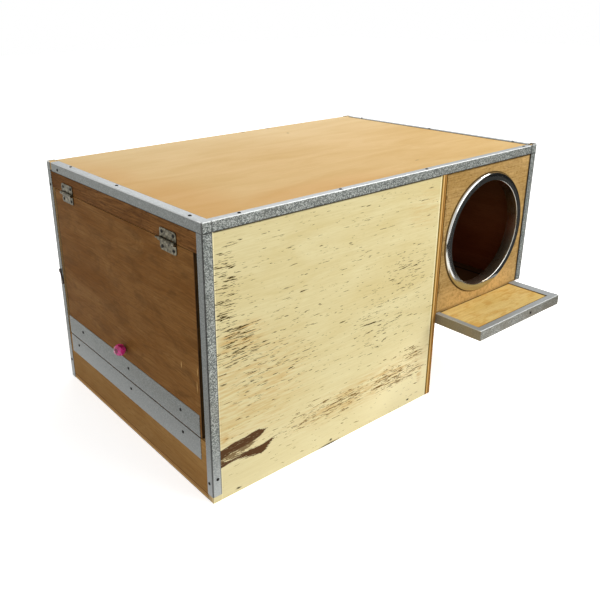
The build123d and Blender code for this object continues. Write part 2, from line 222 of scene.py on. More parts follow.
def plywood(
    node, pale, deep, line, grain, through, inside="#A04A30",
    contour=0.16, fibre=0.22, pores=0.4, roughness=0.55, plies=plies_seen, joint_shade=(),
):
    """Plywood for one board: figured veneer on its faces, and its plies on its edges.

    The veneer runs along the grain axis. Colours are those of the early wood,
    the late wood and the pores, and contour, fibre and pores say how strongly
    each of these marks shows. Painted shade lies along planes where other pieces
    meet the board: axis, place and width.
    """
    axes = "XYZ"
    across = next(axis for axis in axes if axis not in (grain, through))
    material, tree, shader = new_material(node + "_plywood")
    coords = add_node(tree, "TexCoord").outputs
    place = add_node(tree, "SeparateXYZ", {0: coords["Object"]}).outputs
    grain_place = add_node(
        tree, "CombineXYZ", {0: place[grain], 1: place[across], 2: place[through]}
    )

    # Broad figure: soft tongues of deeper colour, 80 mm long and 20 mm wide
    stretch = add_node(tree, "Mapping", {"Vector": grain_place.outputs[0], "Scale": (9, 34, 34)})
    broad = add_node(
        tree, "TexNoise",
        {
            "Vector": stretch.outputs[0], "Scale": 1.0, "Detail": 4.0, "Roughness": 0.55,
            "Distortion": 0.6
        },
    )
    tone = add_node(tree, "ValToRGB", {0: broad.outputs[0]}, stops=((0.36, 0.0), (0.66, 1.0)))
    face = add_node(
        tree, "Mix", {0: tone.outputs[0], 6: linear(pale), 7: linear(deep)}, data_type="RGBA"
    )

    # Growth-ring contours: the figure's height lines, about 6 mm apart
    waves = add_node(tree, "Math", {0: broad.outputs[0], 1: 75.0}, operation="MULTIPLY")
    waves = add_node(tree, "Math", {0: waves.outputs[0]}, operation="SINE")
    contours = add_node(
        tree, "MapRange",
        {"Value": waves.outputs[0], "From Min": 0.2, "From Max": 1.0, "To Max": contour}
    )
    face = add_node(
        tree, "Mix", {0: contours.outputs[0], 6: face.outputs[2], 7: linear(deep)}, data_type="RGBA"
    )

    # Fibres 1.3 mm apart and up to 30 mm long
    stretch = add_node(tree, "Mapping", {"Vector": grain_place.outputs[0], "Scale": (32, 750, 750)})
    fibres = add_node(
        tree, "TexNoise",
        {"Vector": stretch.outputs[0], "Scale": 1.0, "Detail": 2.0, "Roughness": 0.6}
    )
    fibre_tone = add_node(
        tree, "MapRange",
        {"Value": fibres.outputs[0], "From Min": 0.35, "From Max": 0.7, "To Max": fibre}
    )
    face = add_node(
        tree, "Mix", {0: fibre_tone.outputs[0], 6: face.outputs[2], 7: linear(line)},
        data_type="RGBA"
    )

    # Pores: fine dark flecks 3 to 6 mm long
    stretch = add_node(
        tree, "Mapping", {"Vector": grain_place.outputs[0], "Scale": (150, 1500, 1500)}
    )
    flecks = add_node(
        tree, "TexNoise",
        {"Vector": stretch.outputs[0], "Scale": 1.0, "Detail": 1.0, "Roughness": 0.4}
    )
    fleck_tone = add_node(
        tree, "ValToRGB", {0: flecks.outputs[0]}, stops=((0.62, 0.0), (0.74, pores))
    )
    face = add_node(
        tree, "Mix", {0: fleck_tone.outputs[0], 6: face.outputs[2], 7: linear(line)},
        data_type="RGBA"
    )

    # Plies on the board's edges: long grain and end grain in turn, glued with dark
    # lines that wander a little
    low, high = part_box(node)
    at = axes.index(through)
    depth = add_node(
        tree, "MapRange", {"Value": place[through], "From Min": low[at], "From Max": high[at]}
    )
    sway = add_node(
        tree, "TexNoise",
        {"Vector": coords["Object"], "Scale": 45.0, "Detail": 4.0, "Roughness": 0.7}
    )
    wander = add_node(
        tree, "MapRange", {"Value": sway.outputs[0], "To Min": -0.035, "To Max": 0.035}
    )
    wander = add_node(tree, "Math", {0: depth.outputs[0], 1: wander.outputs[0]}, operation="ADD")
    ply_colours = add_node(tree, "ValToRGB", {0: wander.outputs[0]}, stops=plies)
    side = add_node(tree, "SeparateXYZ", {0: coords["Normal"]}).outputs[through]
    side = add_node(tree, "Math", {0: side}, operation="ABSOLUTE")
    is_face = add_node(tree, "Math", {0: side.outputs[0], 1: 0.5}, operation="GREATER_THAN")
    wood = add_node(
        tree, "Mix", {0: is_face.outputs[0], 6: ply_colours.outputs[0], 7: face.outputs[2]},
        data_type="RGBA"
    )

    # Inside the two chambers the wood is bare and browned, with painted shade that darkens it most
    # near the roof
    hidden = 0.0
    for middle, reach in hollows:
        away = add_node(tree, "VectorMath", {0: coords["Object"], 1: middle}, operation="SUBTRACT")
        away = add_node(tree, "VectorMath", {0: away.outputs[0]}, operation="ABSOLUTE")
        spare = add_node(tree, "VectorMath", {0: reach, 1: away.outputs[0]}, operation="SUBTRACT")
        spare = add_node(tree, "SeparateXYZ", {0: spare.outputs[0]}).outputs
        least = add_node(tree, "Math", {0: spare[0], 1: spare[1]}, operation="MINIMUM")
        least = add_node(tree, "Math", {0: least.outputs[0], 1: spare[2]}, operation="MINIMUM")
        within = add_node(tree, "Math", {0: least.outputs[0], 1: 0.0}, operation="GREATER_THAN")
        hidden = add_node(
            tree, "Math", {0: hidden, 1: within.outputs[0]}, operation="MAXIMUM"
        ).outputs[0]
    add_node(tree, "Math", {0: 1.0, 1: hidden}, operation="SUBTRACT", name="outside")
    gloom = add_node(tree, "MapRange", {"Value": place["Z"], "From Min": 0.12, "From Max": 0.24})
    gloom = add_node(
        tree, "Mix", {0: gloom.outputs[0], 6: linear(inside), 7: linear("#421A0C")},
        data_type="RGBA"
    )
    brown_and_shaded = add_node(
        tree, "Mix", {0: 0.9, 6: wood.outputs[2], 7: gloom.outputs[2]}, data_type="RGBA",
        blend_type="MULTIPLY"
    )
    wood = add_node(
        tree, "Mix", {0: hidden, 6: wood.outputs[2], 7: brown_and_shaded.outputs[2]}, data_type="RGBA"
    )

    # Painted shade in the corners where other pieces meet the board
    for axis, plane, width in joint_shade:
        shade_line = beside(tree, place[axis], plane, width * 0.4, width, 0.92)
        wood = add_node(
            tree, "Mix", {0: shade_line, 6: wood.outputs[2], 7: linear(joint_shade_colour)}, data_type="RGBA"
        )

    height = add_node(tree, "Math", {0: flecks.outputs[0], 1: fibres.outputs[0]}, operation="ADD")
    bump = add_node(
        tree, "Bump", {"Height": height.outputs[0], "Strength": 0.25, "Distance": 0.0002}
    )
    gloss = add_node(
        tree, "MapRange",
        {"Value": broad.outputs[0], "To Min": roughness - 0.08, "To Max": roughness + 0.1}
    )
    join_finish(tree, shader, wood.outputs[2], gloss, bump)
    shader.inputs["Specular IOR Level"].default_value = 0.02
    set_material(node, material)
    return tree, shader, wood, coords["Object"], place


def paint(tree, shader, under, mask, colour):
    """Lay one more colour over the outside of a board's finish, where the mask is 1."""
    mask = add_node(
        tree, "Math", {0: mask, 1: tree.nodes["outside"].outputs[0]}, operation="MULTIPLY"
    )
    over = add_node(
        tree, "Mix", {0: mask.outputs[0], 6: under.outputs[2], 7: linear(colour)}, data_type="RGBA"
    )
    tree.links.new(over.outputs[2], shader.inputs["Base Color"])
    return over


def patch(tree, where, middle, reach, most=1.0, turn=0.0):
    """Mark a soft round patch: most at its middle and 0 past its reach, turned about Y."""
    there = add_node(
        tree, "Mapping",
        {"Vector": where, "Location": middle, "Rotation": (0, turn, 0), "Scale": reach},
        vector_type="TEXTURE",
    )
    away = add_node(tree, "VectorMath", {0: there.outputs[0]}, operation="LENGTH")
    return add_node(
        tree, "MapRange",
        {
            "Value": away.outputs["Value"], "From Min": 0.25, "From Max": 1.0, "To Min": most,
            "To Max": 0.0
        },
        interpolation_type="SMOOTHSTEP",
    ).outputs[0]


def strongest(tree, masks):
    """Join several masks: the strongest one holds at each point."""
    joined = 0.0
    for mask in masks:
        joined = add_node(tree, "Math", {0: joined, 1: mask}, operation="MAXIMUM").outputs[0]
    return joined


# Painted shade runs along the panel's top edge, under the edging.
tree, shader, wood, where, place = plywood(
    "front_panel", "#D8CD9F", "#D0C18E", "#A8915A", "X", "Y",
    contour=0.06, fibre=0.18, pores=0.20, roughness=0.62, joint_shade=(("Z", 0.2540, 0.0016),),
)
front_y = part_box("front_panel")[0].y
# Painted light: paler wood low down, most at the right, and painted highlights along the panel's
# two upright edges
low_painted_light = add_node(
    tree, "MapRange", {"Value": place["Z"], "From Min": 0.12, "From Max": 0.0, "To Max": 0.32}
)
corner_painted_light = patch(tree, where, (0.130, front_y, 0.020), (0.16, 0.1, 0.09), 0.62)
edge_highlights = [beside(tree, place["X"], edge, 0.0004, 0.0012, 0.55) for edge in (-0.1397, 0.1412)]
wear_and_light = strongest(tree, [low_painted_light.outputs[0], corner_painted_light] + edge_highlights)
wood = paint(tree, shader, wood, wear_and_light, "#F6EBC0")
# Browner bands low on the panel, and streaks of brown wood in them
stretch = add_node(tree, "Mapping", {"Vector": where, "Scale": (34, 34, 420)})
smear = add_node(
    tree, "TexNoise", {"Vector": stretch.outputs[0], "Scale": 1.0, "Detail": 3.0, "Roughness": 0.65}
)
streaks = add_node(tree, "ValToRGB", {0: smear.outputs[0]}, stops=((0.42, 0.0), (0.66, 1.0)))
warm_patches = (
    ((0.045, front_y, 0.046), (0.150, 0.1, 0.024), 0.75, -0.06),
    ((-0.110, front_y, 0.100), (0.100, 0.1, 0.075), 0.65),
    ((-0.112, front_y, 0.156), (0.035, 0.1, 0.020), 0.9),
    ((-0.130, front_y, 0.153), (0.012, 0.1, 0.016), 1.0),
    ((-0.136, front_y, 0.064), (0.010, 0.1, 0.010), 1.0),
    ((0.118, front_y, 0.225), (0.035, 0.1, 0.030), 0.4),
    ((0.129, front_y, 0.034), (0.006, 0.1, 0.016), 0.9),
)
warm = strongest(tree, [patch(tree, where, *sizes) for sizes in warm_patches])
warm = add_node(tree, "Math", {0: warm, 1: streaks.outputs[0]}, operation="MULTIPLY")
wood = paint(tree, shader, wood, warm.outputs[0], "#C29B5C")

# Open grain: ragged dark dashes a millimetre high and 3 to 10 mm long, crowded in
# the clusters. They lie a little askew on the board.
grain_slope = -0.03
clusters = (
    ((-0.130, front_y, 0.200), (0.024, 0.1, 0.050), 0.85),
    ((-0.118, front_y, 0.150), (0.036, 0.1, 0.036), 1.0),
    ((-0.095, front_y, 0.120), (0.060, 0.1, 0.050), 0.45),
    ((-0.060, front_y, 0.150), (0.060, 0.1, 0.050), 0.22),
    ((0.098, front_y, 0.158), (0.042, 0.1, 0.036), 0.62),
    ((0.050, front_y, 0.110), (0.036, 0.1, 0.036), 0.62),
    ((0.086, front_y, 0.044), (0.060, 0.1, 0.020), 1.0),
    ((-0.010, front_y, 0.044), (0.090, 0.1, 0.018), 0.75),
    ((-0.060, front_y, 0.110), (0.070, 0.1, 0.035), 0.30),
    ((-0.020, front_y, 0.200), (0.160, 0.1, 0.070), 0.08),
    ((0.114, front_y, 0.062), (0.034, 0.1, 0.018), 0.75),
    ((0.080, front_y, 0.135), (0.070, 0.1, 0.060), 0.28),
)
density = strongest(tree, [patch(tree, where, *sizes) for sizes in clusters])
least = add_node(tree, "MapRange", {"Value": density, "To Min": 0.73, "To Max": 0.60})
layers = []
for shift, scale in ((0.0, (50, 90, 760)), (5.3, (85, 90, 950)), (9.1, (110, 90, 1250))):
    stretch = add_node(
        tree, "Mapping",
        {
            "Vector": where, "Location": (shift, 0, 0), "Rotation": (0, grain_slope, 0),
            "Scale": scale
        },
    )
    grain = add_node(
        tree, "TexNoise",
        {"Vector": stretch.outputs[0], "Scale": 1.0, "Detail": 1.5, "Roughness": 0.6}
    )
    dash = add_node(tree, "Math", {0: grain.outputs[0], 1: least.outputs[0]}, operation="SUBTRACT")
    layers.append(
        add_node(tree, "MapRange", {"Value": dash.outputs[0], "From Max": 0.02}).outputs[0]
    )
dashes = strongest(tree, layers)
wood = paint(tree, shader, wood, dashes, "#40300A")
# They are browner and fainter low down
low_dashes = add_node(
    tree, "MapRange", {"Value": place["Z"], "From Min": 0.085, "From Max": 0.065, "To Max": 0.55}
)
low_dashes = add_node(tree, "Math", {0: dashes, 1: low_dashes.outputs[0]}, operation="MULTIPLY")
wood = paint(tree, shader, wood, low_dashes.outputs[0], "#8A6428")

# The deepest of the dashes: place along the panel and up it, length, height and
# darkness. Noise shakes their outlines by up to 2 mm along and 0.8 mm up.
ragged = add_node(tree, "Mapping", {"Vector": where, "Scale": (260, 260, 900)})
ragged = add_node(tree, "TexNoise", {"Vector": ragged.outputs[0], "Scale": 1.0, "Detail": 2.0})
shake = add_node(
    tree, "VectorMath", {0: ragged.outputs["Color"], 1: (-0.5, -0.5, -0.5)}, operation="ADD"
)
shake = add_node(
    tree, "VectorMath", {0: shake.outputs[0], 1: (0.004, 0.0, 0.0016)}, operation="MULTIPLY"
)
shaken = add_node(tree, "VectorMath", {0: where, 1: shake.outputs[0]}, operation="ADD").outputs[0]
deep_dashes = (
    (-0.1281, 0.2248, 0.007, 0.0013, 1.0), (-0.1221, 0.2097, 0.007, 0.0012, 1.0),
    (-0.1313, 0.2002, 0.009, 0.0011, 0.9), (-0.1364, 0.1815, 0.006, 0.0017, 1.0),
    (-0.1321, 0.1792, 0.005, 0.0010, 0.9), (-0.1278, 0.1724, 0.005, 0.0014, 0.9),
    (-0.1285, 0.1656, 0.018, 0.0013, 0.9), (-0.1165, 0.1650, 0.008, 0.0010, 0.7),
    (-0.1339, 0.1681, 0.007, 0.0010, 0.8), (-0.1057, 0.1535, 0.014, 0.0013, 0.9),
    (-0.1213, 0.1438, 0.011, 0.0012, 0.8), (-0.1221, 0.1393, 0.007, 0.0014, 0.9),
    (-0.0767, 0.1485, 0.006, 0.0009, 0.8), (-0.0600, 0.1393, 0.006, 0.0009, 0.8),
    (-0.0926, 0.1287, 0.010, 0.0009, 0.7), (-0.0565, 0.1197, 0.009, 0.0009, 0.8),
    (-0.1193, 0.0931, 0.014, 0.0008, 0.7), (-0.0763, 0.1333, 0.009, 0.0009, 0.5),
    (-0.1215, 0.2418, 0.007, 0.0011, 0.6), (-0.0692, 0.2356, 0.006, 0.0011, 0.6),
    (-0.0578, 0.2243, 0.009, 0.0011, 0.5), (-0.0184, 0.2139, 0.007, 0.0012, 0.7),
    (-0.0610, 0.2124, 0.009, 0.0011, 0.4), (-0.1088, 0.2169, 0.006, 0.0011, 0.6),
    (-0.0645, 0.1868, 0.012, 0.0017, 0.6), (-0.0744, 0.1680, 0.006, 0.0010, 0.5),
    (0.1258, 0.2440, 0.009, 0.0014, 0.8), (0.0716, 0.1957, 0.009, 0.0011, 0.5),
    (0.0685, 0.1684, 0.006, 0.0012, 0.7), (0.0668, 0.1232, 0.006, 0.0013, 0.8),
    (0.0032, 0.1436, 0.009, 0.0011, 0.4), (0.1245, 0.1735, 0.012, 0.0012, 0.5),
    (-0.1020, 0.1560, 0.016, 0.0010, 0.7), (-0.1080, 0.1600, 0.014, 0.0010, 0.6),
    (0.0880, 0.0496, 0.012, 0.0013, 0.8), (0.0800, 0.0344, 0.012, 0.0012, 0.8),
    (0.1156, 0.0347, 0.010, 0.0013, 0.8),
    # Nails and a chip along the bottom edge
    (-0.1214, 0.0038, 0.009, 0.0026, 1.0), (-0.0050, 0.0045, 0.006, 0.0034, 1.0),
    (0.1122, 0.0055, 0.006, 0.0034, 1.0), (-0.0090, 0.0004, 0.040, 0.0040, 1.0),
)
deepest = strongest(tree, [
    patch(tree, shaken, (along, front_y, up), (length / 2, 0.1, height / 2), darkness, grain_slope)
    for along, up, length, height, darkness in deep_dashes
])
wood = paint(tree, shader, wood, deepest, "#33260A")

# Burr knot: two tongues of dark brown wood that open to the right, on the panel's
# lower near corner, with pale streaky wood between them
knot_left, knot_right, knot_top = -140.5, -78.0, 60.0
mm = 0.001
along = add_node(
    tree, "MapRange", {"Value": place["X"], "From Min": knot_left * mm, "From Max": knot_right * mm}
)
torn = add_node(tree, "Mapping", {"Vector": where, "Scale": (110, 90, 1100)})
torn = add_node(
    tree, "TexNoise", {"Vector": torn.outputs[0], "Scale": 1.0, "Detail": 3.0, "Roughness": 0.7}
)
ragged = add_node(
    tree, "MapRange",
    {"Value": torn.outputs[0], "From Min": 0.3, "From Max": 0.7, "To Min": -0.07, "To Max": 0.07},
)
along = add_node(tree, "Math", {0: along.outputs[0], 1: ragged.outputs[0]}, operation="ADD")
up = add_node(
    tree, "Math", {0: ragged.outputs[0], 1: 0.014, 2: place["Z"]}, operation="MULTIPLY_ADD"
)
# Outlines: heights in mm of each tongue's lower and upper edge, by place in mm along the panel
tongues = (
    (
        (
            (-140.5, 41.8), (-127.6, 44.9), (-109.6, 45.9), (-100.3, 46.8), (-93.3, 49.6),
            (-88.0, 53.4)
        ),
        (
            (-140.5, 52.0), (-132.8, 53.6), (-123.9, 54.9), (-115.0, 54.6), (-107.1, 56.1),
            (-98.0, 56.4), (-88.0, 54.0)
        ),
    ),
    (
        (
            (-140.5, 33.3), (-131.2, 34.7), (-121.1, 35.2), (-112.1, 32.6), (-103.0, 30.4),
            (-93.6, 28.8), (-88.8, 31.0), (-83.9, 35.5), (-79.0, 41.0)
        ),
        (
            (-140.5, 40.0), (-127.8, 38.3), (-110.8, 40.2), (-101.6, 39.4), (-93.5, 38.8),
            (-86.3, 40.2), (-79.0, 41.6)
        ),
    ),
)
dark_parts = []
for lower, upper in tongues:
    edges = []
    for outline in (lower, upper):
        stops = [((x - knot_left) / (knot_right - knot_left), z / knot_top) for x, z in outline]
        ramp = add_node(tree, "ValToRGB", {0: along.outputs[0]}, stops=stops)
        edges.append(
            add_node(
                tree, "Math", {0: ramp.outputs[0], 1: knot_top * mm}, operation="MULTIPLY"
            ).outputs[0]
        )
    above = add_node(tree, "Math", {0: up.outputs[0], 1: edges[0]}, operation="SUBTRACT")
    below = add_node(tree, "Math", {0: edges[1], 1: up.outputs[0]}, operation="SUBTRACT")
    inside = add_node(tree, "Math", {0: above.outputs[0], 1: below.outputs[0]}, operation="MINIMUM")
    inside = add_node(tree, "MapRange", {"Value": inside.outputs[0], "From Max": 0.6 * mm})
    tip = (lower[-1][0] - knot_left) / (knot_right - knot_left)
    ends = add_node(tree, "Math", {0: along.outputs[0], 1: tip}, operation="LESS_THAN")
    inside = add_node(
        tree, "Math", {0: inside.outputs[0], 1: ends.outputs[0]}, operation="MULTIPLY"
    )
    dark_parts.append(inside.outputs[0])
pale_lines = add_node(tree, "ValToRGB", {0: torn.outputs[0]}, stops=((0.60, 1.0), (0.68, 0.6)))
knot = add_node(
    tree, "Math", {0: strongest(tree, dark_parts), 1: pale_lines.outputs[0]}, operation="MULTIPLY"
)
# Between the tongues: fine torn streaks, thickest at the left
hatch = add_node(
    tree, "Mapping", {"Vector": where, "Rotation": (0, 0.5, 0), "Scale": (150, 90, 950)}
)
hatch = add_node(
    tree, "TexNoise", {"Vector": hatch.outputs[0], "Scale": 1.0, "Detail": 2.0, "Roughness": 0.6}
)
wedge = patch(tree, where, (-0.124, front_y, 0.0425), (0.040, 0.1, 0.0068), turn=-0.12)
share = add_node(tree, "MapRange", {"Value": wedge, "To Min": 0.80, "To Max": 0.36})
hatch = add_node(tree, "Math", {0: hatch.outputs[0], 1: share.outputs[0]}, operation="SUBTRACT")
hatch = add_node(tree, "MapRange", {"Value": hatch.outputs[0], "From Max": 0.05, "To Max": 0.85})
wood = paint(tree, shader, wood, hatch.outputs[0], "#664A2A")
wood = paint(tree, shader, wood, knot.outputs[0], "#573C26")

# Roof: one varnished board over both chambers, warm tan, with soft blotches
# along its length. The varnish is oranger along the near edges.
# Painted shade runs along the roof's edges, beside the edging.
tree, shader, wood, where, place = plywood(
    "top_panel", "#DBB97F", "#D2AD70", "#B88A4C", "X", "Z",
    contour=0.16, fibre=0.14, pores=0.10, roughness=0.5,
    joint_shade=(("X", -0.1404, 0.0016), ("Y", -0.1432, 0.0014), ("X", 0.3029, 0.0014)),
)
roof_z = 0.263
amber_patches = (
    ((-0.13, -0.10, roof_z), (0.07, 0.16, 0.1)),
    ((-0.02, -0.14, roof_z), (0.17, 0.05, 0.1)),
    ((-0.14, 0.06, roof_z), (0.05, 0.13, 0.1)),
)
amber = strongest(tree, [patch(tree, where, *sizes, most=0.45) for sizes in amber_patches])
wood = paint(tree, shader, wood, amber, "#D09B58")
# Painted sheen: the varnish is paler towards the back
back_sheen = add_node(
    tree, "MapRange", {"Value": place["Y"], "From Min": 0.0, "From Max": 0.15, "To Max": 0.4}
)
wood = paint(tree, shader, wood, back_sheen.outputs[0], "#E8D0A0")
# Short cracks and a speck at the back edge, and a scratch near the front
crack_patches = (
    ((0.115, 0.147, roof_z), (0.004, 0.004, 0.002), 0.7),
    ((0.156, 0.148, roof_z), (0.005, 0.004, 0.002), 0.7),
    ((0.153, 0.102, roof_z), (0.002, 0.003, 0.002), 0.8),
    ((0.147, -0.112, roof_z), (0.004, 0.001, 0.002), 0.7),
)
cracks = strongest(tree, [patch(tree, where, *sizes) for sizes in crack_patches])
wood = paint(tree, shader, wood, cracks, "#4A3018")

# Back, entrance and far walls: tan varnished plywood, a little dirtier.
# The hole panel is the brownest of them.
plywood("back_panel", "#D9B884", "#C99F66", "#8E6635", "X", "Y", contour=0.2)
# Painted shade runs along the hole panel's joints: beside the divider, the far edging, the ledge
# and the top edging.
tree, shader, wood, where, place = plywood(
    "entrance_front", "#C2A16A", "#AC8A52", "#5C3F1A", "X", "Y", contour=0.3, fibre=0.45, pores=0.9,
    joint_shade=(
        ("X", 0.1500, 0.0016), ("X", 0.3000, 0.0024), ("Z", 0.0984, 0.0036), ("Z", 0.2540, 0.0022)
    ),
)
# Paler wood low in the middle, just above the ledge
pale_above_ledge = patch(tree, where, (0.225, front_y, 0.104), (0.11, 0.1, 0.036), 0.7)
wood = paint(tree, shader, wood, pale_above_ledge, "#D9B070")
blotch = add_node(
    tree, "TexNoise", {"Vector": where, "Scale": 260.0, "Detail": 3.0, "Roughness": 0.7}
)
blotch = add_node(tree, "ValToRGB", {0: blotch.outputs[0]}, stops=((0.46, 0.0), (0.66, 0.55)))
wood = paint(tree, shader, wood, blotch.outputs[0], "#8A6C38")
# Painted shade round the ring's edge
ring_low, ring_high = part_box("entrance_ring")
ring_middle = (ring_low + ring_high) / 2
ring_radius = (ring_high.x - ring_low.x) / 2


def from_ring_axis(tree, where):
    """Give each point's distance from the axis of the entrance ring."""
    away = add_node(tree, "VectorMath", {0: where, 1: ring_middle}, operation="SUBTRACT")
    away = add_node(tree, "VectorMath", {0: away.outputs[0], 1: (1, 0, 1)}, operation="MULTIPLY")
    return add_node(tree, "VectorMath", {0: away.outputs[0]}, operation="LENGTH").outputs["Value"]


ring_edge_shade = beside(tree, from_ring_axis(tree, where), ring_radius, 0.0006, 0.0016, 0.85)
wood = paint(tree, shader, wood, ring_edge_shade, joint_shade_colour)
# Dark runs of old water just right of the divider
run = add_node(tree, "Mapping", {"Vector": where, "Scale": (420, 90, 130)})
run = add_node(
    tree, "TexNoise", {"Vector": run.outputs[0], "Scale": 1.0, "Detail": 3.0, "Roughness": 0.7}
)
run = add_node(tree, "ValToRGB", {0: run.outputs[0]}, stops=((0.52, 0.0), (0.60, 0.9)))
near = add_node(
    tree, "MapRange",
    {"Value": place["X"], "From Min": 0.1505, "From Max": 0.1575, "To Min": 1.0, "To Max": 0.0}
)
run = add_node(tree, "Math", {0: run.outputs[0], 1: near.outputs[0]}, operation="MULTIPLY")
wood = paint(tree, shader, wood, run.outputs[0], "#5A3A18")
plywood("entrance_back", "#D6B27A", "#C49A60", "#8E6635", "X", "Y", contour=0.2)
plywood("end_wall", "#D6B27A", "#C49A60", "#8E6635", "Y", "X", contour=0.2)
# The divider's edge shows on the front, between the front panel and the hole panel:
# its plies from left to right
divider_plies = (
    (0.0, "#6A5418"), (0.24, "#7A5E1E"), (0.32, "#C29A5A"), (0.44, "#D2A86C"), (0.56, "#C0985A"),
    (0.63, "#7E5018"), (0.72, "#6E480F"), (0.79, "#AA8044"), (0.87, "#9A7038"), (1.0, "#6A4414"),
)
plywood("divider_wall", "#D8B070", "#C6985A", "#6E4520", "Y", "X", contour=0.2, plies=divider_plies)
plywood("floor_panel", "#A97B48", "#8D6134", "#4C3018", "X", "Z", contour=0.2)

# Entrance floor: varnished plywood that runs out under the hole as the ledge. The
# birds have rubbed it browner in streaks, and painted shade lies along its joints.
tree, shader, wood, where, place = plywood(
    "entrance_floor", "#DFC582", "#D5B56C", "#A0702E", "X", "Z", inside="#5A2416", contour=0.24,
    fibre=0.26, pores=0.3,
    joint_shade=(
        ("X", 0.1560, 0.0016), ("X", 0.2870, 0.0022), ("Y", -0.2000, 0.0020), ("Y", -0.1494, 0.0022)
    ),
)
stretch = add_node(tree, "Mapping", {"Vector": where, "Scale": (45, 120, 45)})
wear_and_light = add_node(
    tree, "TexNoise", {"Vector": stretch.outputs[0], "Scale": 1.0, "Detail": 4.0, "Roughness": 0.65}
)
wear_and_light = add_node(tree, "ValToRGB", {0: wear_and_light.outputs[0]}, stops=((0.50, 0.0), (0.62, 0.5)))
wood = paint(tree, shader, wood, wear_and_light.outputs[0], "#BE8A3C")

# Door end: brown varnished plywood, its grain across the door. The header is
# redder and streaked, and the sill is lighter. Painted shade runs along the door's
# side edges, by their gaps, and along the header's top, under the edging.
tree, shader, wood, where, place = plywood(
    "door_panel", "#9A6E3C", "#845728", "#4A2E14", "Y", "X", contour=0.4, fibre=0.36, pores=0.35,
    roughness=0.5,
    joint_shade=(("Y", -0.1366, 0.0016), ("Y", 0.1366, 0.0012)),
)
door_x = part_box("door_panel")[0].x
smudge = add_node(
    tree, "Mapping", {"Vector": where, "Rotation": (0.35, 0, 0), "Scale": (20, 26, 60)}
)
smudge = add_node(
    tree, "TexNoise",
    {"Vector": smudge.outputs[0], "Scale": 1.0, "Detail": 4.0, "Roughness": 0.6, "Distortion": 0.8}
)
smudge = add_node(tree, "ValToRGB", {0: smudge.outputs[0]}, stops=((0.52, 0.0), (0.68, 0.5)))
wood = paint(tree, shader, wood, smudge.outputs[0], "#63421E")
scratch_patches = (
    ((door_x, -0.1074, 0.1234), (0.004, 0.0010, 0.0045)),
    ((door_x, -0.1332, 0.1271), (0.004, 0.0008, 0.0060)),
    ((door_x, -0.1316, 0.1120), (0.004, 0.0008, 0.0080)),
)
scratches = strongest(tree, [patch(tree, where, *sizes) for sizes in scratch_patches])
wood = paint(tree, shader, wood, scratches, "#D0A468")
plywood(
    "door_header", "#9A6C3C", "#7A5028", "#3C2210", "Y", "X", contour=0.7, fibre=0.6, pores=0.8,
    joint_shade=(("Z", 0.2540, 0.0012),),
)
plywood(
    "door_sill", "#B48A52", "#A37641", "#6A441F", "Y", "X", contour=0.3, fibre=0.3, pores=0.4,
)

# Edging and strips: galvanised sheet, folded and nailed on. The zinc's spangle
# shows as a fine mottle, strongest on the front.
zinc, tree, shader = new_material("galvanised_sheet")
coords = add_node(tree, "TexCoord").outputs
place = add_node(tree, "SeparateXYZ", {0: coords["Object"]}).outputs
facing = add_node(tree, "SeparateXYZ", {0: coords["Normal"]}).outputs
# Crystals 0.8 mm across
spangle = add_node(tree, "TexVoronoi", {"Vector": coords["Object"], "Scale": 1250.0})
crystal = add_node(tree, "SeparateXYZ", {0: spangle.outputs["Color"]}).outputs
grit = add_node(tree, "TexNoise", {"Vector": coords["Object"], "Scale": 1100.0, "Detail": 2.0})
stain = add_node(
    tree, "TexNoise", {"Vector": coords["Object"], "Scale": 28.0, "Detail": 4.0, "Roughness": 0.6}
)
front = add_node(
    tree, "MapRange",
    {"Value": facing["Y"], "From Min": -0.3, "From Max": -0.9, "To Min": 0.5, "To Max": 1.0}
)
mottle = add_node(tree, "Math", {0: crystal[0], 1: grit.outputs[0]}, operation="ADD")
mottle = add_node(
    tree, "MapRange", {"Value": mottle.outputs[0], "From Min": 0.45, "From Max": 1.45}
)
mottle = add_node(tree, "Math", {0: mottle.outputs[0], 1: -0.5}, operation="ADD")
mottle = add_node(
    tree, "Math", {0: mottle.outputs[0], 1: front.outputs[0], 2: 0.5}, operation="MULTIPLY_ADD"
)
colour = add_node(
    tree, "ValToRGB", {0: mottle.outputs[0]},
    stops=((0.05, "#4C5251"), (0.5, "#757974"), (0.95, "#B4B8B3")),
)
dirt_and_shade = add_node(
    tree, "MapRange", {"Value": stain.outputs[0], "From Min": 0.5, "From Max": 0.75, "To Max": 0.35}
)
colour = add_node(
    tree, "Mix", {0: dirt_and_shade.outputs[0], 6: colour.outputs[0], 7: linear("#7C776C")}, data_type="RGBA"
)
# Painted shade: faces towards the door end and the far end are darker
end_face_shade = add_node(tree, "Math", {0: facing["X"]}, operation="ABSOLUTE")
end_face_shade = add_node(
    tree, "MapRange",
    {"Value": end_face_shade.outputs[0], "From Min": 0.4, "From Max": 0.9, "To Max": 0.45}
)
colour = add_node(
    tree, "Mix", {0: end_face_shade.outputs[0], 6: colour.outputs[2], 7: linear("#6C6F6E")},
    data_type="RGBA"
)
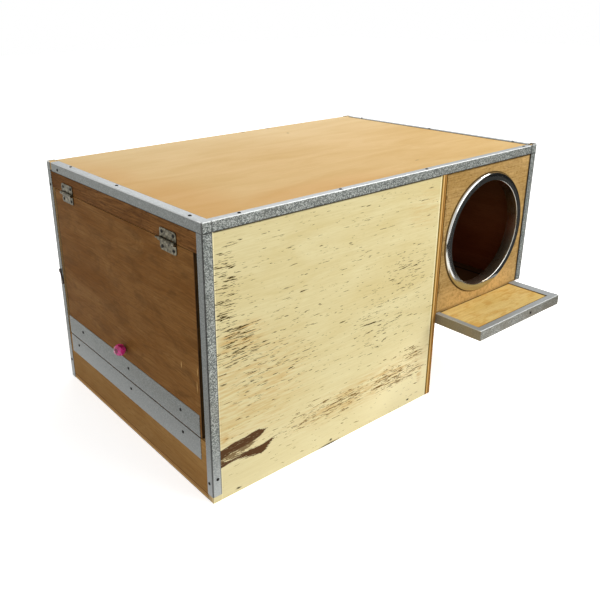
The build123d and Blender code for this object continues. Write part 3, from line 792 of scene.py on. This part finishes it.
# Brown grime on the ledge's edging, with painted light making it paler on its ends
on_ledge = add_node(tree, "Math", {0: place["X"], 1: 0.149}, operation="GREATER_THAN")
low_down = add_node(tree, "Math", {0: place["Z"], 1: 0.0992}, operation="LESS_THAN")
on_ledge = add_node(
    tree, "Math", {0: on_ledge.outputs[0], 1: low_down.outputs[0]}, operation="MULTIPLY"
)
soil = add_node(
    tree, "MapRange",
    {"Value": stain.outputs[0], "From Min": 0.35, "From Max": 0.65, "To Min": 0.25, "To Max": 0.75}
)
soil = add_node(tree, "Math", {0: on_ledge.outputs[0], 1: soil.outputs[0]}, operation="MULTIPLY")
soil_tone_and_light = add_node(tree, "Math", {0: facing["X"]}, operation="ABSOLUTE")
soil_tone_and_light = add_node(
    tree, "Mix", {0: soil_tone_and_light.outputs[0], 6: linear("#5E5644"), 7: linear("#948264")},
    data_type="RGBA"
)
colour = add_node(
    tree, "Mix", {0: soil.outputs[0], 6: colour.outputs[2], 7: soil_tone_and_light.outputs[2]},
    data_type="RGBA"
)
# Painted light: faces that look up, and the foot of the near corner, are paler, as if they caught
# more of the room's light
up_face_light = add_node(
    tree, "MapRange", {"Value": facing["Z"], "From Min": 0.4, "From Max": 0.9, "To Max": 0.8}
)
foot_light = add_node(
    tree, "MapRange", {"Value": place["Z"], "From Min": 0.075, "From Max": 0.01, "To Max": 0.85}
)
painted_room_light = add_node(tree, "Math", {0: up_face_light.outputs[0], 1: foot_light.outputs[0]}, operation="MAXIMUM")
colour = add_node(
    tree, "Mix", {0: painted_room_light.outputs[0], 6: colour.outputs[2], 7: linear("#A9ADAE")},
    data_type="RGBA"
)


def along_fold(tree, place, planes, width, most):
    """Mark a thin line: what is close to both of the planes that meet there."""
    masks = [beside(tree, place[axis], plane, width * 0.4, width, most) for axis, plane in planes]
    return add_node(tree, "Math", {0: masks[0], 1: masks[1]}, operation="MINIMUM").outputs[0]


# Painted highlights along the folds over the roof and the ledge
highlight_folds = (
    ((("Y", -0.1500), ("Z", 0.2634)), 0.0009, 0.60),
    ((("X", -0.1500), ("Z", 0.2634)), 0.0009, 0.60),
    ((("Y", -0.2070), ("Z", 0.0990)), 0.0009, 0.30),
    ((("X", 0.1500), ("Z", 0.0990)), 0.0009, 0.45),
    ((("X", 0.3100), ("Z", 0.2634)), 0.0009, 0.60),
)
fold_highlight = strongest(tree, [along_fold(tree, place, *fold) for fold in highlight_folds])
colour = add_node(
    tree, "Mix", {0: fold_highlight, 6: colour.outputs[2], 7: linear("#F0F2F0")}, data_type="RGBA"
)
# Painted shade in the near upright fold, along the legs' edges and in the seam beside the far
# corner
shade_seams = (
    ((("X", -0.1500), ("Y", -0.1500)), 0.0015, 0.8),
    ((("X", -0.1404), ("Y", -0.1500)), 0.0009, 0.7),
    ((("Z", 0.2540), ("Y", -0.1500)), 0.0009, 0.8),
    ((("Z", 0.2540), ("X", -0.1500)), 0.0008, 0.6),
    ((("X", 0.3000), ("Y", -0.1500)), 0.0014, 0.85),
)
dirt_and_shade = strongest(tree, [along_fold(tree, place, *seam) for seam in shade_seams])
colour = add_node(
    tree, "Mix", {0: dirt_and_shade, 6: colour.outputs[2], 7: linear("#24221E")}, data_type="RGBA"
)
gloss = add_node(tree, "MapRange", {"Value": crystal[1], "To Min": 0.38, "To Max": 0.55})
bump = add_node(tree, "Bump", {"Height": crystal[2], "Strength": 0.12, "Distance": 0.0001})
join_finish(tree, shader, colour.outputs[2], gloss, bump)
shader.inputs["Metallic"].default_value = 0.45
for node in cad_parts:
    if node.endswith(("_trim", "_strip")):
        set_material(node, zinc)

# Entrance ring: stainless sheet rolled into a sleeve through the hole, with a
# flat face and a rolled edge. It is polished round, so it shows fine rings of
# scratches and mirrors the room, while the inside of the sleeve is left brushed.
panel_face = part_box("entrance_front")[0].y
tail = panel_face - ring_high.y
sleeve_radius = ring_radius - 0.0085
ring_sheet = 0.0008
# The sheet's section, as radius and height over the panel's face: from the sleeve's
# inner end, out round the lip and the flat face to the rolled edge
section = (
    (sleeve_radius, tail), (sleeve_radius, 0.0024),
    (sleeve_radius + 0.0001, 0.0027), (sleeve_radius + 0.0003, 0.0029),
    (sleeve_radius + 0.0007, 0.0030), (ring_radius - 0.0022, 0.0030),
    (ring_radius - 0.0015, 0.0029), (ring_radius - 0.0009, 0.0026),
    (ring_radius - 0.0004, 0.0020), (ring_radius - 0.0001, 0.0012),
    (ring_radius, 0.0004), (ring_radius, 0.0),
    # Back along the sheet's hidden side
    (ring_radius - ring_sheet, 0.0), (ring_radius - ring_sheet, 0.0010),
    (ring_radius - 0.0022, 0.0022), (sleeve_radius + 0.0014, 0.0022),
    (sleeve_radius + ring_sheet, 0.0018), (sleeve_radius + ring_sheet, tail),
)
shape = bmesh.new()
corners = [
    shape.verts.new((ring_middle.x + r, panel_face - rise, ring_middle.z))
    for r, rise in section
]
outline = [shape.edges.new(pair) for pair in zip(corners, corners[1:] + corners[:1])]
bmesh.ops.spin(
    shape, geom=corners + outline, cent=ring_middle, axis=(0, 1, 0), angle=math.tau, steps=144,
    use_merge=True
)
bmesh.ops.remove_doubles(shape, verts=shape.verts, dist=1e-6)
bmesh.ops.recalc_face_normals(shape, faces=shape.faces)
for face in shape.faces:
    face.smooth = True
sharp_fold = math.radians(32)
for edge in shape.edges:
    edge.smooth = edge.calc_face_angle(0.0) < sharp_fold

stainless, tree, shader = new_material("polished_stainless")
coords = add_node(tree, "TexCoord").outputs
radius = from_ring_axis(tree, coords["Object"])
rings = add_node(
    tree, "TexNoise", {"W": radius, "Scale": 2600.0, "Detail": 2.0}, noise_dimensions="1D"
)
smudge = add_node(tree, "TexNoise", {"Vector": coords["Object"], "Scale": 60.0, "Detail": 3.0})
gloss = add_node(tree, "MapRange", {"Value": smudge.outputs[0], "To Min": 0.05, "To Max": 0.20})
in_sleeve = add_node(
    tree, "MapRange",
    {
        "Value": radius, "From Min": sleeve_radius + 0.0001, "From Max": sleeve_radius + 0.0002,
        "To Min": 1, "To Max": 0
    },
)
brushed = add_node(tree, "Math", {0: in_sleeve.outputs[0], 1: 0.26}, operation="MULTIPLY")
gloss = add_node(tree, "Math", {0: gloss.outputs[0], 1: brushed.outputs[0]}, operation="MAXIMUM")
bump = add_node(tree, "Bump", {"Height": rings.outputs[0], "Strength": 0.03, "Distance": 0.0001})
tint = add_node(
    tree, "Mix", {0: smudge.outputs[0], 6: linear("#CFCFCB"), 7: linear("#BDBCB6")},
    data_type="RGBA"
)
# Painted reflection: the sleeve is tinted brown, as it mirrors the brown wood inside the chamber
sleeve_reflection_tint = add_node(tree, "Math", {0: in_sleeve.outputs[0], 1: 0.8}, operation="MULTIPLY")
tint = add_node(
    tree, "Mix", {0: sleeve_reflection_tint.outputs[0], 6: tint.outputs[2], 7: linear("#BCAA8C")}, data_type="RGBA"
)
join_finish(tree, shader, tint.outputs[2], gloss, bump)
shader.inputs["Metallic"].default_value = 1.0
rolled_ring = new_piece("rolled_entrance_ring", shape, stainless)
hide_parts("entrance_ring")
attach(rolled_ring, "box")

# Hinges: small butts of plated steel, rolled round their pins and screwed to the
# header and the door. The plating has dulled, and is brown in patches.
plated, tree, shader = new_material("tarnished_plated_steel")
coords = add_node(tree, "TexCoord").outputs
tarnish = add_node(
    tree, "TexNoise", {"Vector": coords["Object"], "Scale": 260.0, "Detail": 4.0, "Roughness": 0.65}
)
colour = add_node(
    tree, "ValToRGB", {0: tarnish.outputs[0]},
    stops=((0.34, "#2F2B22"), (0.5, "#5C5747"), (0.66, "#807A68")),
)
gloss = add_node(tree, "MapRange", {"Value": tarnish.outputs[0], "To Min": 0.55, "To Max": 0.28})
bump = add_node(tree, "Bump", {"Height": tarnish.outputs[0], "Strength": 0.15, "Distance": 0.0001})
join_finish(tree, shader, colour.outputs[0], gloss, bump)
shader.inputs["Metallic"].default_value = 1.0
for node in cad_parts:
    if "_hinge_" in node:
        set_material(node, plated)

# Catch: one piece of iron wire, bent to a hook over the sill. Age has darkened
# it, and rust shows as brown specks.
iron, tree, shader = new_material("oxidised_iron_wire")
coords = add_node(tree, "TexCoord").outputs
rust = add_node(tree, "TexNoise", {"Vector": coords["Object"], "Scale": 700.0, "Detail": 3.0})
colour = add_node(
    tree, "ValToRGB", {0: rust.outputs[0]}, stops=((0.4, "#2E2A27"), (0.62, "#5A4A3E"))
)
gloss = add_node(tree, "MapRange", {"Value": rust.outputs[0], "To Min": 0.35, "To Max": 0.65})
bump = add_node(tree, "Bump", {"Height": rust.outputs[0], "Strength": 0.2, "Distance": 0.0001})
join_finish(tree, shader, colour.outputs[0], gloss, bump)
shader.inputs["Metallic"].default_value = 0.8
set_material("door_catch", iron)

# Pull: a faceted bead of clear magenta acrylic, moulded with flat facets, so some
# flash white and others stay dark. The small steel screw that holds it through its
# middle is left out.
bead_radius = 0.0063
bead_height = 0.0965
bead_middle = Vector((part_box("door_pull")[0].x + bead_radius, 0.0, bead_height))
shape = bmesh.new()
bmesh.ops.create_icosphere(shape, subdivisions=2, radius=bead_radius)
shape.transform(
    Matrix.Translation(bead_middle) @ Matrix.Rotation(0.5, 4, "Z") @ Matrix.Rotation(0.35, 4, "X")
)
acrylic, tree, shader = new_material("magenta_acrylic")
coords = add_node(tree, "TexCoord").outputs
cloud = add_node(tree, "TexNoise", {"Vector": coords["Object"], "Scale": 240.0, "Detail": 2.0})
colour = add_node(
    tree, "ValToRGB", {0: cloud.outputs[0]}, stops=((0.35, "#DC1478"), (0.65, "#FF4CAC"))
)
# Painted shade: one tone for each facet, so some facets are darkened and others keep
# their colour; normals rounded to steps tell the facets apart
step = 0.3
facet_shade = add_node(tree, "VectorMath", {0: coords["Normal"], 1: (step, step, step)}, operation="SNAP")
facet_shade = add_node(tree, "TexWhiteNoise", {"Vector": facet_shade.outputs[0]})
facet_shade = add_node(
    tree, "ValToRGB", {0: facet_shade.outputs["Value"]}, stops=((0.15, "#7A1C50"), (0.5, "#FFFFFF"))
)
colour = add_node(
    tree, "Mix", {0: 0.85, 6: colour.outputs[0], 7: facet_shade.outputs[0]}, data_type="RGBA",
    blend_type="MULTIPLY"
)
gloss = add_node(tree, "MapRange", {"Value": cloud.outputs[0], "To Min": 0.04, "To Max": 0.12})
bump = add_node(tree, "Bump", {"Height": cloud.outputs[0], "Strength": 0.05, "Distance": 0.0002})
join_finish(tree, shader, colour.outputs[2], gloss, bump)
shader.inputs["IOR"].default_value = 1.49
shader.inputs["Transmission Weight"].default_value = 0.15
pull_bead = new_piece("pull_bead", shape, acrylic)
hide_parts("door_pull")
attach(pull_bead, "door")

# Pins: round steel nail heads 3.2 mm across, gone dark, driven through the
# edging and the strips
dark_pin, tree, shader = new_material("dark_steel_pin")
coords = add_node(tree, "TexCoord").outputs
speck = add_node(tree, "TexNoise", {"Vector": coords["Object"], "Scale": 1500.0, "Detail": 2.0})
colour = add_node(
    tree, "ValToRGB", {0: speck.outputs[0]}, stops=((0.4, "#0E0C0A"), (0.7, "#26211C"))
)
gloss = add_node(tree, "MapRange", {"Value": speck.outputs[0], "To Min": 0.5, "To Max": 0.75})
bump = add_node(tree, "Bump", {"Height": speck.outputs[0], "Strength": 0.15, "Distance": 0.0001})
join_finish(tree, shader, colour.outputs[0], gloss, bump)
shader.inputs["Specular IOR Level"].default_value = 0.2


def add_copies(shape, master, places):
    """Add copies of a small mesh to a shape, each set on its place and facing outward."""
    for place, outward in places:
        first = len(shape.verts)
        shape.from_mesh(master)
        shape.verts.ensure_lookup_table()
        turn = Vector(outward).to_track_quat("Z", "Y").to_matrix().to_4x4()
        bmesh.ops.transform(
            shape, matrix=Matrix.Translation(place) @ turn, verts=shape.verts[first:]
        )


# One head: the upper half of a ball, flattened
head_radius = 0.0016
head_flatness = 0.45
shape = bmesh.new()
bmesh.ops.create_uvsphere(shape, u_segments=16, v_segments=10, radius=head_radius)
bmesh.ops.bisect_plane(
    shape, geom=shape.verts[:] + shape.edges[:] + shape.faces[:],
    plane_co=(0, 0, 0), plane_no=(0, 0, 1), clear_inner=True,
)
bmesh.ops.holes_fill(shape, edges=[edge for edge in shape.edges if edge.is_boundary])
bmesh.ops.scale(shape, vec=(1, 1, head_flatness), verts=shape.verts)
bmesh.ops.recalc_face_normals(shape, faces=shape.faces)
pin_head = bpy.data.meshes.new("pin_head")
shape.to_mesh(pin_head)
shape.free()

# Outer faces of the edging, and each pin's place and the way it faces
front, left, roof = -0.150, -0.150, 0.2634
pins = {
    "door_end_top_trim": [((left, 0.1221, 0.2576), (-1, 0, 0))]
    + [
        ((x, y, roof), (0, 0, 1))
        for x, y in ((-0.1432, 0.1018), (-0.1438, -0.0009), (-0.1455, -0.1272))
    ],
    "front_top_trim": [((x, -0.1466, roof), (0, 0, 1)) for x in (-0.1114, 0.0010, 0.1198, 0.2882)],
    "far_end_top_trim": [((0.3065, y, roof), (0, 0, 1)) for y in (-0.1211, -0.0002, 0.1190)],
    "door_front_corner_trim": [
        ((-0.1443, front, 0.0246), (0, -1, 0)), ((left, -0.1448, 0.0198), (-1, 0, 0))
    ],
    "door_back_corner_trim": [
        ((left, 0.1460, 0.238), (-1, 0, 0)), ((left, 0.1455, 0.023), (-1, 0, 0))
    ],
    "ledge_front_trim": [((0.2420, -0.207, 0.0930), (0, -1, 0))],
    "sill_strip": [((left, y, 0.0526), (-1, 0, 0)) for y in (0.1178, -0.0061, -0.1043)],
    "door_strip": [((left, y, 0.0752), (-1, 0, 0)) for y in (0.1020, -0.0041, -0.1022)],
}
for node, places in pins.items():
    shape = bmesh.new()
    add_copies(shape, pin_head, places)
    heads = new_piece(node + "_pins", shape, dark_pin)
    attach(heads, "door" if node == "door_strip" else "box")

# Hinge screws: small slotted screws of dark steel, one in each hole of the
# leaves, their heads a little rounded
screw_radius = 0.0019
screw_rise = 0.0007
slot_width = 0.0005
slot_depth = 0.0004
shape = bmesh.new()
bmesh.ops.create_cone(
    shape, cap_ends=True, segments=20, radius1=screw_radius, radius2=screw_radius * 0.8,
    depth=screw_rise
)
# The slot: two cuts across the head, and the strip between them sunk
for side in (-1, 1):
    bmesh.ops.bisect_plane(
        shape, geom=shape.verts[:] + shape.edges[:] + shape.faces[:],
        plane_co=(0, side * slot_width / 2, 0), plane_no=(0, 1, 0),
    )
slot_face = [
    face for face in shape.faces
    if face.normal.z > 0.9 and abs(face.calc_center_median().y) < slot_width / 2
]
bmesh.ops.inset_region(shape, faces=slot_face, thickness=0.00004)
bmesh.ops.translate(
    shape, vec=(0, 0, -slot_depth), verts=list({vert for face in slot_face for vert in face.verts})
)
bmesh.ops.recalc_face_normals(shape, faces=shape.faces)
screw_head = bpy.data.meshes.new("screw_head")
shape.to_mesh(screw_head)
shape.free()
# The screws' places: apart along the hinge, and above or below its line
screws_apart = 0.018
screws_off_line = 0.0066
hinge_line = 0.2357
leaf_face = -0.1503
for node, side, body in (
    ("front_hinge_frame_leaf", 1, "box"),
    ("back_hinge_frame_leaf", 1, "box"),
    ("front_hinge_door_leaf", -1, "door"),
    ("back_hinge_door_leaf", -1, "door"),
):
    low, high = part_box(node)
    shape = bmesh.new()
    leaf_middle = (low.y + high.y) / 2
    places = [
        (
            (leaf_face, leaf_middle + end * screws_apart / 2, hinge_line + side * screws_off_line),
            (-1, 0, 0)
        )
        for end in (-1, 1)
    ]
    add_copies(shape, screw_head, places)
    screws = new_piece(node + "_screws", shape, dark_pin)
    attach(screws, body)
